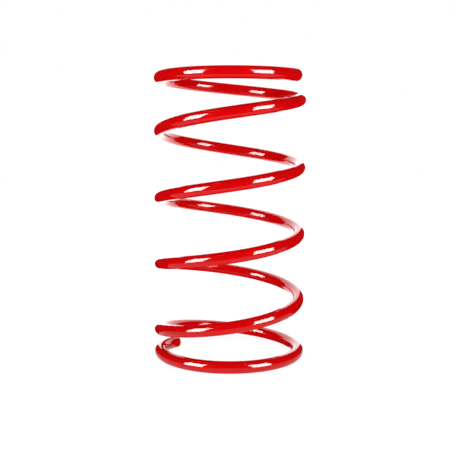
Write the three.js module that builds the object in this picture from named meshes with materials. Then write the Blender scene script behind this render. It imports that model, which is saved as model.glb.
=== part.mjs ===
// Coil spring of a car's suspension: one round wire wound right-handed, both end coils laid flat.
// Millimetres, +Z up. The spring stands on z = 0 and its axis is the Z axis.
// The wire is cut into short lengths so that it can work as a real one does, by twisting along itself.
import * as THREE from 'three';

const wireRadius = 6;
const coilRadius = 71; // from the spring's axis to the middle of the wire
const pitch = 67.4; // rise in one turn, between the end coils
const totalTurns = 5.51;
const upperEndBearing = -24; // degrees from +X, seen from above, to the upper wire end
const lowerFlatTurns = 0.507; // flat part of the lower end coil, from its tip
const upperFlatTurns = 0.388;
const easeTurns = 0.5; // how long the slope takes to grow from flat to the full pitch
const curlTurns = 0.11; // the lower tip curls inwards over this much wire
const curlDepth = 8.6;
const liftTurns = 0.22; // the upper tip springs up a little over this much wire
const liftHeight = 1.4;
const lowerEndTurns = 0.745; // length of the lower end coil, which keeps its shape
const lengthsPerTurn = 4;
const workingLengths = 17; // lengths of working wire between the two end coils
const cutGap = 0.3; // clearance left at each cut
const sectionSides = 16;
const stepsPerTurn = 48;
const paintColour = 0xc90c0c;

// Rise of the wire up to a given turn, where the slope grows smoothly over easeTurns from startTurn
function easedRise(turn, startTurn) {
  const share = THREE.MathUtils.clamp((turn - startTurn) / easeTurns, 0, 1);
  const easedShare = share / 2 - Math.sin(Math.PI * share) / (2 * Math.PI);
  const fullTurns = Math.max(turn - startTurn - easeTurns, 0);
  return pitch * (easeTurns * easedShare + fullTurns);
}

// Middle of the wire, counted in turns up from the lower tip
function wirePoint(turn, target = new THREE.Vector3()) {
  const upperEaseStart = totalTurns - upperFlatTurns - easeTurns;
  const levelHeight = wireRadius + easedRise(turn, lowerFlatTurns) - easedRise(turn, upperEaseStart);
  const curlShare = Math.max(1 - turn / curlTurns, 0);
  const liftShare = Math.max(1 - (totalTurns - turn) / liftTurns, 0);
  const radius = coilRadius - curlDepth * curlShare ** 2;
  const height = levelHeight + liftHeight * liftShare ** 2;
  const bearing = THREE.MathUtils.degToRad(upperEndBearing + 360 * (turn - totalTurns));
  return target.set(radius * Math.cos(bearing), radius * Math.sin(bearing), height);
}

// A stretch of the wire. Its cross-section is kept upright, so one flat side always faces up.
class WireStretch extends THREE.Curve {
  constructor(startTurn, endTurn) {
    super();
    this.startTurn = startTurn;
    this.endTurn = endTurn;
  }

  getPoint(share, target) {
    return wirePoint(THREE.MathUtils.lerp(this.startTurn, this.endTurn, share), target);
  }

  getTangent(share, target = new THREE.Vector3()) {
    const turn = THREE.MathUtils.lerp(this.startTurn, this.endTurn, share);
    const reach = 0.0001;
    return target.subVectors(wirePoint(turn + reach), wirePoint(turn - reach)).normalize();
  }

  computeFrenetFrames(segments) {
    const frames = { tangents: [], normals: [], binormals: [] };
    for (let i = 0; i <= segments; i++) {
      const tangent = this.getTangentAt(i / segments);
      const upright = new THREE.Vector3(0, 0, 1).addScaledVector(tangent, -tangent.z).normalize();
      frames.tangents.push(tangent);
      frames.normals.push(upright);
      frames.binormals.push(new THREE.Vector3().crossVectors(tangent, upright));
    }
    return frames;
  }
}

// Cross-section with its flat sides touching the wire's circle from outside
function wireSection() {
  const cornerRadius = wireRadius / Math.cos(Math.PI / sectionSides);
  const corners = [];
  for (let i = 0; i < sectionSides; i++) {
    const angle = (2 * Math.PI * (i + 0.5)) / sectionSides;
    corners.push(new THREE.Vector2(cornerRadius * Math.cos(angle), cornerRadius * Math.sin(angle)));
  }
  return new THREE.Shape(corners);
}

const spring = new THREE.Group();
spring.name = 'coil_spring';

function addWire(name, startTurn, endTurn) {
  const halfGap = cutGap / 2 / (2 * Math.PI * coilRadius);
  const first = startTurn > 0 ? startTurn + halfGap : startTurn;
  const last = endTurn < totalTurns ? endTurn - halfGap : endTurn;
  const geometry = new THREE.ExtrudeGeometry(wireSection(), {
    steps: Math.ceil((endTurn - startTurn) * stepsPerTurn - 0.001),
    extrudePath: new WireStretch(first, last),
  });
  const material = new THREE.MeshStandardMaterial({ color: paintColour, roughness: 0.2 });
  material.name = 'red_paint';
  const wire = new THREE.Mesh(geometry, material);
  wire.name = name;
  spring.add(wire);
}

addWire('lower_end_coil', 0, lowerEndTurns);
for (let i = 0; i < workingLengths; i++) {
  const coil = Math.floor(i / lengthsPerTurn) + 1;
  const quarter = (i % lengthsPerTurn) + 1;
  const startTurn = lowerEndTurns + i / lengthsPerTurn;
  addWire(`coil_${coil}_quarter_${quarter}`, startTurn, startTurn + 1 / lengthsPerTurn);
}
addWire('upper_end_coil', lowerEndTurns + workingLengths / lengthsPerTurn, totalTurns);

export default spring;
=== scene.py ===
# Suspension coil spring: red gloss powder coat on 12 mm steel wire, standing in a bright studio
import math

import bmesh
import bpy
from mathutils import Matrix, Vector


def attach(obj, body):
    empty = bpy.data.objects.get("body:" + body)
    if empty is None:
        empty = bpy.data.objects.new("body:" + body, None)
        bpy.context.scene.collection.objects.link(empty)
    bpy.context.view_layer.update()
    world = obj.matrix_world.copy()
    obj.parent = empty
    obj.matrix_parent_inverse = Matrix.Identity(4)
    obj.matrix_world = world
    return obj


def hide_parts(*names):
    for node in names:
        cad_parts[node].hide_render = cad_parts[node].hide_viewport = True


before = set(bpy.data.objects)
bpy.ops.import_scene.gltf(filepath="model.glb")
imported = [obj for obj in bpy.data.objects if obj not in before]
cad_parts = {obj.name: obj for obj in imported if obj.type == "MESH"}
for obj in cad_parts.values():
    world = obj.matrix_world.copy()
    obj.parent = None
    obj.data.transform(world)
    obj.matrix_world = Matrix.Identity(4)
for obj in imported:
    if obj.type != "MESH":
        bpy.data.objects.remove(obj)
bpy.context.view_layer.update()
scene = bpy.context.scene
print("frame loaded:", len(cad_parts), "lengths of wire")

# the spring's winding, in metres and turns counted up from the lower wire end
winding = {
    "wireRadius": 0.006,
    "coilRadius": 0.071,  # axis to the middle of the wire
    "pitch": 0.0674,  # rise in a turn between the end coils
    "turns": 5.51,
    "upperEndBearing": -24.0,  # degrees from +X to the upper wire end
    "lowerFlat": 0.507,  # turns laid flat at the lower end
    "upperFlat": 0.388,
    "easing": 0.5,  # turns over which the slope grows
    "curlTurns": 0.11,  # the lower tip curls inwards
    "curlDepth": 0.0086,
    "liftTurns": 0.22,  # the upper tip springs up a little
    "liftHeight": 0.0014,
    "stepsPerTurn": 400,  # points in a turn of the path; every cut falls on one
}


def easedRise(turn, start):
    share = min(max((turn - start) / winding["easing"], 0.0), 1.0)
    easedShare = share / 2 - math.sin(math.pi * share) / (2 * math.pi)
    past = max(turn - start - winding["easing"], 0.0)
    return winding["pitch"] * (winding["easing"] * easedShare + past)


def wirePoint(turn):
    upperStart = winding["turns"] - winding["upperFlat"] - winding["easing"]
    level = winding["wireRadius"] + easedRise(turn, winding["lowerFlat"]) - easedRise(turn, upperStart)
    curl = max(1 - turn / winding["curlTurns"], 0.0)
    lift = max(1 - (winding["turns"] - turn) / winding["liftTurns"], 0.0)
    radius = winding["coilRadius"] - winding["curlDepth"] * curl ** 2
    height = level + winding["liftHeight"] * lift ** 2
    bearing = math.radians(winding["upperEndBearing"] + 360 * (turn - winding["turns"]))
    return Vector((radius * math.cos(bearing), radius * math.sin(bearing), height))


def onlyActive(obj):
    bpy.ops.object.select_all(action="DESELECT")
    obj.select_set(True)
    bpy.context.view_layer.objects.active = obj


# the mandrel path that every straight bar is wound on
def makeWindingPath():
    count = round(winding["turns"] * winding["stepsPerTurn"]) + 1
    curve = bpy.data.curves.new("windingPath", "CURVE")
    curve.dimensions = "3D"
    curve.twist_mode = "Z_UP"
    curve.use_path = True
    spline = curve.splines.new("POLY")
    spline.points.add(count - 1)
    points = [wirePoint(i / winding["stepsPerTurn"]) for i in range(count)]
    for point, place in zip(spline.points, points):
        point.co = (*place, 1.0)
    path = bpy.data.objects.new("windingPath", curve)
    scene.collection.objects.link(path)
    run = [0.0]
    for before, after in zip(points, points[1:]):
        run.append(run[-1] + (after - before).length)
    return path, run


# straight bar stock, before it is wound
barStock = {
    "sides": 48,
    "ringSpacing": 0.00116,
    "tipRound": 0.0013,  # rim of a sawn end, softened by blasting and powder
    "tipSteps": 5,
    "seamRing": 0.00008,  # ring this near each cut keeps the gloss unbroken
    "cutGap": 0.00002,  # room at each cut for the lengths to turn
    "smoothAngle": 40.0,  # degrees
    "nearEnough": 1e-6,  # two places closer than this are one
}


def makeBar(name, length):
    bpy.ops.object.select_all(action="DESELECT")
    bpy.ops.mesh.primitive_cylinder_add(
        vertices=barStock["sides"], radius=winding["wireRadius"], depth=length,
        location=(length / 2, 0, 0), rotation=(0, math.pi / 2, 0))
    bar = bpy.context.active_object
    bar.name = name
    bpy.ops.object.transform_apply(location=True, rotation=True, scale=True)
    bpy.ops.object.mode_set(mode="EDIT")
    bpy.ops.mesh.select_mode(type="EDGE")
    cuts = max(round(length / barStock["ringSpacing"]) - 1, 2)
    for number in splitCuts(cuts):
        selectEdges(bar, runsAlong)
        bpy.ops.mesh.subdivide(number_cuts=number)
    for place in (barStock["seamRing"], length - barStock["seamRing"]):
        bpy.ops.mesh.select_all(action="SELECT")
        bpy.ops.mesh.bisect(plane_co=(place, 0, 0), plane_no=(1, 0, 0))
    bpy.ops.object.mode_set(mode="OBJECT")
    return bar


def runsAlong(edge):
    return abs(edge.verts[0].co.x - edge.verts[1].co.x) > barStock["nearEnough"]


# subdivide takes at most 100 cuts at a time
def splitCuts(cuts):
    first = max(round(math.sqrt(cuts + 1)) - 1, 1)
    second = max(round((cuts + 1) / (first + 1)) - 1, 1)
    return first, second


def selectEdges(obj, wanted):
    bpy.ops.mesh.select_all(action="DESELECT")
    mesh = bmesh.from_edit_mesh(obj.data)
    for edge in mesh.edges:
        if wanted(edge):
            edge.select_set(True)
    bmesh.update_edit_mesh(obj.data)


# rounds the rim of a sawn wire end at the bar's low or high end
def roundTip(bar, place):
    onlyActive(bar)
    bpy.ops.object.mode_set(mode="EDIT")
    bpy.ops.mesh.select_mode(type="EDGE")
    near = barStock["nearEnough"]
    selectEdges(bar, lambda edge: all(abs(corner.co.x - place) < near for corner in edge.verts))
    bpy.ops.mesh.bevel(
        offset=barStock["tipRound"], offset_type="OFFSET", segments=barStock["tipSteps"],
        affect="EDGES", clamp_overlap=False)
    bpy.ops.object.mode_set(mode="OBJECT")


# winds a straight bar onto the path between two turns, then leaves only its mesh
def windBar(bar, path, length, startTurn, endTurn):
    halfGap = barStock["cutGap"] / 2
    low = runAt(startTurn) + (halfGap if startTurn > 0 else 0)
    high = runAt(endTurn) - (halfGap if endTurn < winding["turns"] else 0)
    for vertex in bar.data.vertices:
        vertex.co.x = low + vertex.co.x * (high - low) / length
    onlyActive(bar)
    wrap = bar.modifiers.new("wind", "CURVE")
    wrap.object = path
    wrap.deform_axis = "POS_X"
    bpy.ops.object.modifier_apply(modifier="wind")
    bpy.ops.object.shade_smooth_by_angle(angle=math.radians(barStock["smoothAngle"]))


path, run = makeWindingPath()
bpy.context.view_layer.update()


def runAt(turn):
    return run[round(turn * winding["stepsPerTurn"])]


# where the wire is divided
division = {
    "firstCut": 0.745,  # turns up from the lower wire end
    "workingLengths": 17,
    "lengthsPerTurn": 4,
}
perTurn = division["lengthsPerTurn"]
lastCut = division["firstCut"] + division["workingLengths"] / perTurn
wires = []

lowerLength = runAt(division["firstCut"])
lowerEnd = makeBar("wireLowerEnd", lowerLength)
roundTip(lowerEnd, 0.0)
windBar(lowerEnd, path, lowerLength, 0.0, division["firstCut"])
wires.append((lowerEnd, "lower_end_coil"))

quarterLength = runAt(division["firstCut"] + 1 / perTurn) - lowerLength
quarterBar = makeBar("wireQuarter", quarterLength)
for index in range(division["workingLengths"]):
    start = division["firstCut"] + index / perTurn
    coil, quarter = index // perTurn + 1, index % perTurn + 1
    piece = quarterBar.copy()
    piece.data = quarterBar.data.copy()
    piece.name = f"wireCoil{coil}Quarter{quarter}"
    scene.collection.objects.link(piece)
    windBar(piece, path, quarterLength, start, start + 1 / perTurn)
    wires.append((piece, f"coil_{coil}_quarter_{quarter}"))
bpy.data.objects.remove(quarterBar)

upperLength = run[-1] - runAt(lastCut)
upperEnd = makeBar("wireUpperEnd", upperLength)
roundTip(upperEnd, upperLength)
windBar(upperEnd, path, upperLength, lastCut, winding["turns"])
wires.append((upperEnd, "upper_end_coil"))
bpy.data.objects.remove(path)
faceCount = sum(len(wire.data.polygons) for wire, node in wires)
print("wire wound:", len(wires), "pieces,", faceCount, "faces")


# red powder coat
powderCoat = {
    "red": (0.635, 0.0008, 0.0015, 1.0),
    "deepRed": (0.555, 0.0006, 0.0012, 1.0),
    "roughness": 0.06,
    "specular": 0.4,
    "cloudScale": 38.0,  # slow change between the two reds
    "cloudDetail": 3.0,
    "peelScale": 420.0,  # fine orange peel
    "peelDetail": 1.0,
    "peelDepth": 0.00002,
    "peelStrength": 0.08,
}


def makePowderCoat():
    material = bpy.data.materials.new("redPowderCoat")
    material.use_nodes = True
    nodes, links = material.node_tree.nodes, material.node_tree.links
    shader = nodes["Principled BSDF"]
    place = nodes.new("ShaderNodeTexCoord")
    cloud = nodes.new("ShaderNodeTexNoise")
    cloud.inputs["Scale"].default_value = powderCoat["cloudScale"]
    cloud.inputs["Detail"].default_value = powderCoat["cloudDetail"]
    links.new(place.outputs["Object"], cloud.inputs["Vector"])
    shade = nodes.new("ShaderNodeMix")
    shade.data_type = "RGBA"
    shade.inputs["A"].default_value = powderCoat["red"]
    shade.inputs["B"].default_value = powderCoat["deepRed"]
    links.new(cloud.outputs["Fac"], shade.inputs["Factor"])
    links.new(shade.outputs["Result"], shader.inputs["Base Color"])
    shader.inputs["Roughness"].default_value = powderCoat["roughness"]
    shader.inputs["Specular IOR Level"].default_value = powderCoat["specular"]
    peel = nodes.new("ShaderNodeTexNoise")
    peel.inputs["Scale"].default_value = powderCoat["peelScale"]
    peel.inputs["Detail"].default_value = powderCoat["peelDetail"]
    links.new(place.outputs["Object"], peel.inputs["Vector"])
    bump = nodes.new("ShaderNodeBump")
    bump.inputs["Strength"].default_value = powderCoat["peelStrength"]
    bump.inputs["Distance"].default_value = powderCoat["peelDepth"]
    links.new(peel.outputs["Fac"], bump.inputs["Height"])
    links.new(bump.outputs["Normal"], shader.inputs["Normal"])
    return material


coat = makePowderCoat()
for wire, node in wires:
    wire.data.materials.clear()
    wire.data.materials.append(coat)
    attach(wire, node)
    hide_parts(node)
print("powder coat on")


# studio: a pale glowing floor, cards that only the gloss mirrors, soft boxes and a wide overhead light
studio = {
    "floorSize": 8.0,
    "floorColour": (0.16, 0.16, 0.16, 1.0),
    "floorGlow": 0.9,
    "roughness": 0.9,  # of the floor and the cards
    "roomGlow": (0.5, 0.015, 0.02, 1.0),  # the room as the gloss mirrors it
    "ambient": 0.30,
    "aimHeight": 0.15,  # lamps point at the spring's middle
}
white = (1.0, 1.0, 1.0, 1.0)
black = (0.0, 0.0, 0.0, 1.0)


def stageMaterial(name, colour, glowColour, glow):
    material = bpy.data.materials.new(name)
    material.use_nodes = True
    shader = material.node_tree.nodes["Principled BSDF"]
    shader.inputs["Base Color"].default_value = colour
    shader.inputs["Roughness"].default_value = studio["roughness"]
    shader.inputs["Specular IOR Level"].default_value = 0.0
    shader.inputs["Emission Color"].default_value = glowColour
    shader.inputs["Emission Strength"].default_value = glow
    return material


def makeFloor():
    bpy.ops.object.select_all(action="DESELECT")
    bpy.ops.mesh.primitive_plane_add(size=studio["floorSize"], location=(0, 0, 0))
    floor = bpy.context.active_object
    floor.name = "studioFloor"
    floor.data.materials.append(
        stageMaterial("paleFloor", studio["floorColour"], white, studio["floorGlow"]))


# each card's middle, its size in metres and its glow
cards = {
    "floorCard": {  # dark red, over the whole floor
        "place": (0, 0, 0.001), "size": (8.0, 8.0), "standing": False,
        "colour": (0.16, 0.006, 0.008, 1.0), "glow": 1.0},
    "floorBoard": {  # pale, under and in front of the spring
        "place": (0, -0.14, 0.002), "size": (1.2, 0.32), "standing": False,
        "colour": white, "glow": 0.66},
    "backPanel": {  # bright, close behind the spring, for the inner sides of the coils
        "place": (0, 0.142, 0.13), "size": (0.234, 0.36), "standing": True,
        "colour": white, "glow": 2.6},
    "innerCard": {  # just behind the front of the coils, so that their edges don't mirror the panel
        "place": (0, -0.03, 0.2), "size": (0.1, 0.5), "standing": True,
        "colour": studio["roomGlow"], "glow": 1.0},
}


def makeCard(name, card):
    bpy.ops.object.select_all(action="DESELECT")
    tilt = math.pi / 2 if card["standing"] else 0.0
    bpy.ops.mesh.primitive_plane_add(size=1, location=card["place"], rotation=(tilt, 0, 0))
    plane = bpy.context.active_object
    plane.name = name
    plane.scale = (*card["size"], 1)
    plane.data.materials.append(stageMaterial(name + "Glow", black, card["colour"], card["glow"]))
    plane.visible_camera = False
    plane.visible_diffuse = False
    plane.visible_shadow = False


# bearings are degrees from the camera's side, positive to the right; sizes are width and height
softBox = {"height": 0.33, "distance": 1.0, "watts": 50.0, "gloss": True}
boom = {  # thin and warm, high up, for the fine streaks
    "height": 1.02, "distance": 0.5, "size": (0.23, 0.018), "watts": 0.11,
    "colour": (1.0, 0.5, 0.25), "gloss": True}
fill = {"height": 0.25, "distance": 0.6, "size": (0.3, 0.5), "watts": 1.3, "gloss": False}
lamps = {
    "softBoxLeft": {**softBox, "bearing": -53.0, "size": (0.54, 1.0)},
    "softBoxRight": {**softBox, "bearing": 49.0, "size": (0.56, 1.0)},
    "boomLeft": {**boom, "bearing": -45.0},
    "boomRight": {**boom, "bearing": 45.0},
    "fillLeft": {**fill, "bearing": -35.0},
    "fillRight": {**fill, "bearing": 35.0},
}


# a lamp either shows in the gloss or lights the colour beneath it, never both
def makeLamp(name, lamp):
    data = bpy.data.lights.new(name, "AREA")
    data.shape = "RECTANGLE"
    data.size, data.size_y = lamp["size"]
    data.energy = lamp["watts"]
    data.color = lamp.get("colour", (1.0, 1.0, 1.0))
    obj = bpy.data.objects.new(name, data)
    scene.collection.objects.link(obj)
    bearing, distance = math.radians(lamp["bearing"]), lamp["distance"]
    obj.location = (distance * math.sin(bearing), -distance * math.cos(bearing), lamp["height"])
    direction = Vector((0, 0, studio["aimHeight"])) - obj.location
    obj.rotation_euler = direction.to_track_quat("-Z", "Y").to_euler()
    obj.visible_diffuse = not lamp["gloss"]
    obj.visible_glossy = lamp["gloss"]
    obj.visible_camera = False


overhead = {
    "strength": 1.4,
    "spread": 25.0,  # degrees
}


def makeOverhead():
    data = bpy.data.lights.new("overhead", "SUN")
    data.energy = overhead["strength"]
    data.angle = math.radians(overhead["spread"])
    sun = bpy.data.objects.new("overhead", data)
    scene.collection.objects.link(sun)
    sun.visible_glossy = False
    sun.visible_camera = False


# the surround: white to the eye, red in the gloss, even and dim for the rest
def makeSurround():
    world = bpy.data.worlds.new("studioSurround")
    scene.world = world
    world.use_nodes = True
    nodes, links = world.node_tree.nodes, world.node_tree.links
    nodes.clear()
    out = nodes.new("ShaderNodeOutputWorld")
    glows = {}
    surrounds = (
        ("mirrored", studio["roomGlow"], 1.0),
        ("even", white, studio["ambient"]),
        ("seen", white, 1.0))
    for name, colour, strength in surrounds:
        glows[name] = nodes.new("ShaderNodeBackground")
        glows[name].inputs["Color"].default_value = colour
        glows[name].inputs["Strength"].default_value = strength
    rays = nodes.new("ShaderNodeLightPath")
    glossOrEven = nodes.new("ShaderNodeMixShader")
    links.new(rays.outputs["Is Glossy Ray"], glossOrEven.inputs["Fac"])
    links.new(glows["even"].outputs[0], glossOrEven.inputs[1])
    links.new(glows["mirrored"].outputs[0], glossOrEven.inputs[2])
    final = nodes.new("ShaderNodeMixShader")
    links.new(rays.outputs["Is Camera Ray"], final.inputs["Fac"])
    links.new(glossOrEven.outputs[0], final.inputs[1])
    links.new(glows["seen"].outputs[0], final.inputs[2])
    links.new(final.outputs[0], out.inputs["Surface"])


makeFloor()
for name, card in cards.items():
    makeCard(name, card)
for name, lamp in lamps.items():
    makeLamp(name, lamp)
makeOverhead()
makeSurround()
scene.view_settings.view_transform = "Standard"
print("studio lit")


viewpoint = {
    "place": (-0.00076, -0.77847, 0.21284),
    "tiltDown": 5.976,  # degrees
    "roll": -0.246,
    "lens": 59.81,
    "sensor": 36.0,
}
cameraData = bpy.data.cameras.new("camera")
cameraData.lens = viewpoint["lens"]
cameraData.sensor_width = viewpoint["sensor"]
camera = bpy.data.objects.new("camera", cameraData)
scene.collection.objects.link(camera)
camera.location = viewpoint["place"]
camera.rotation_euler = (
    math.radians(90 - viewpoint["tiltDown"]), math.radians(viewpoint["roll"]), 0)
bpy.context.scene.camera = camera
print("camera set")
